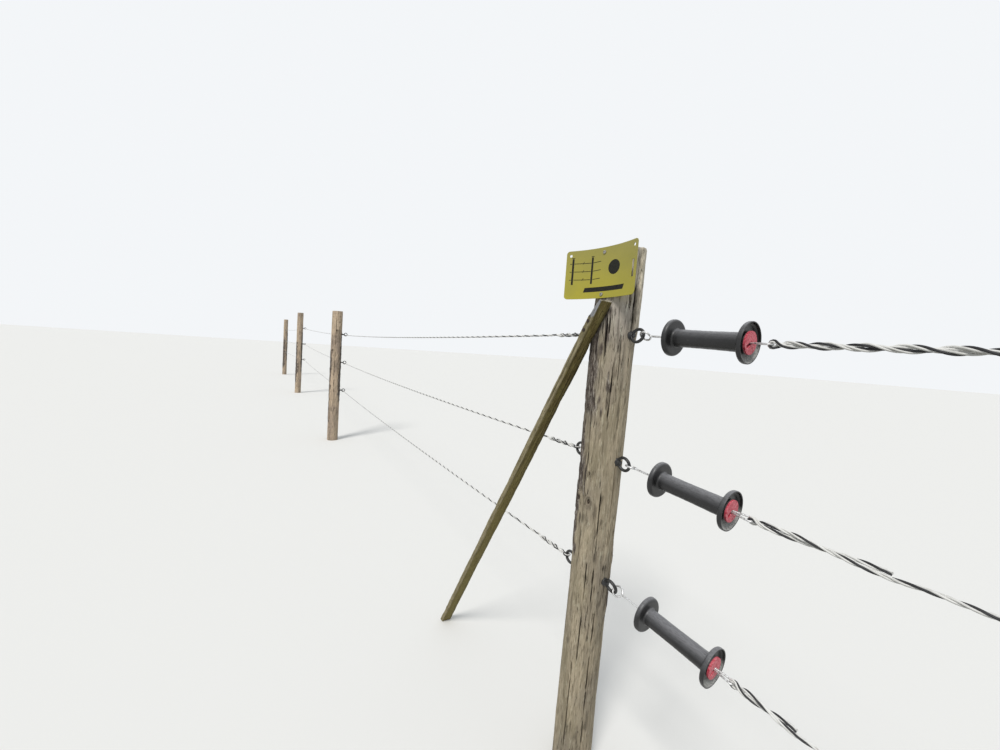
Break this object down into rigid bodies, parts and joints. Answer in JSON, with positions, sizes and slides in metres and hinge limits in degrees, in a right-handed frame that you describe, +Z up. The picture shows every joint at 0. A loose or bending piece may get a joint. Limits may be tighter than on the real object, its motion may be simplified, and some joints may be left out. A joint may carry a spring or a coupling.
{
  "type": "rope gate with posts",
  "caption": "Rope gate across a field entrance: sprung black handles hooked to a leaning round timber post with a raking strut and a blank warning plate, and the rope fence beside it",
  "frame": {"origin": "middle of the gate post's foot, at ground level", "axes": "+X along the gate away from the fence, +Y into the field, +Z up"},
  "size_m": [16.4707, 0.1996, 1.565],
  "materials": {
    "gate_timber": "grey weathered round timber with deep dark drying cracks",
    "line_timber": "grey-brown weathered round timber",
    "sawn_timber": "sawn timber, grey on the upper face and green with algae on the sides",
    "nail_steel": "dull dark nail heads",
    "plate_plastic": "thin faded yellow-green plastic, printed in black",
    "screw_steel": "zinc-plated screw heads",
    "ring_plastic": "black moulded plastic",
    "zinc_wire": "dull zinc-plated wire",
    "grip_plastic": "black moulded plastic, weathered to charcoal grey",
    "cap_plastic": "faded red moulded plastic",
    "rope": "laid polymer rope, two white strands and one black, with fine metal wires"
  },
  "bodies": {
    "root": {"gate_post": "gate_timber", "strut": "sawn_timber", "strut_nails": "nail_steel", "sign_plate": "plate_plastic", "sign_screws": "screw_steel", "anchor_top": "ring_plastic", "hook_top": "zinc_wire", "gate_rope_top": "rope", "fence_anchor_top": "ring_plastic", "fence_rope_top": "rope", "anchor_middle": "ring_plastic", "hook_middle": "zinc_wire", "gate_rope_middle": "rope", "fence_anchor_middle": "ring_plastic", "fence_rope_middle": "rope", "anchor_bottom": "ring_plastic", "hook_bottom": "zinc_wire", "gate_rope_bottom": "rope", "fence_anchor_bottom": "ring_plastic", "fence_rope_bottom": "rope", "far_post": "gate_timber", "far_strut": "sawn_timber", "far_nails": "nail_steel", "far_anchors": "ring_plastic", "line_post_1": "line_timber", "line_insulators_1": "ring_plastic", "line_post_2": "line_timber", "line_insulators_2": "ring_plastic", "end_post": "line_timber", "end_anchors": "ring_plastic"},
    "handle_top": {"grip_top": "grip_plastic", "cap_top": "cap_plastic", "eye_top": "zinc_wire"},
    "handle_middle": {"grip_middle": "grip_plastic", "cap_middle": "cap_plastic", "eye_middle": "zinc_wire"},
    "handle_bottom": {"grip_bottom": "grip_plastic", "cap_bottom": "cap_plastic", "eye_bottom": "zinc_wire"}
  },
  "joints": [
    {"name": "handle_slide_top", "type": "slide", "parent": "root", "child": "handle_top", "axis": [0.9986, 0, -0.0523], "range_m": [-0.02, 0.01], "stiffness_N_per_m": 900, "deforming": ["gate_rope_top"]},
    {"name": "handle_slide_middle", "type": "slide", "parent": "root", "child": "handle_middle", "axis": [0.9976, 0, -0.0698], "range_m": [-0.02, 0.01], "stiffness_N_per_m": 900, "deforming": ["gate_rope_middle"]},
    {"name": "handle_slide_bottom", "type": "slide", "parent": "root", "child": "handle_bottom", "axis": [0.9976, 0, -0.0698], "range_m": [-0.02, 0.01], "stiffness_N_per_m": 900, "deforming": ["gate_rope_bottom"]}
  ]
}
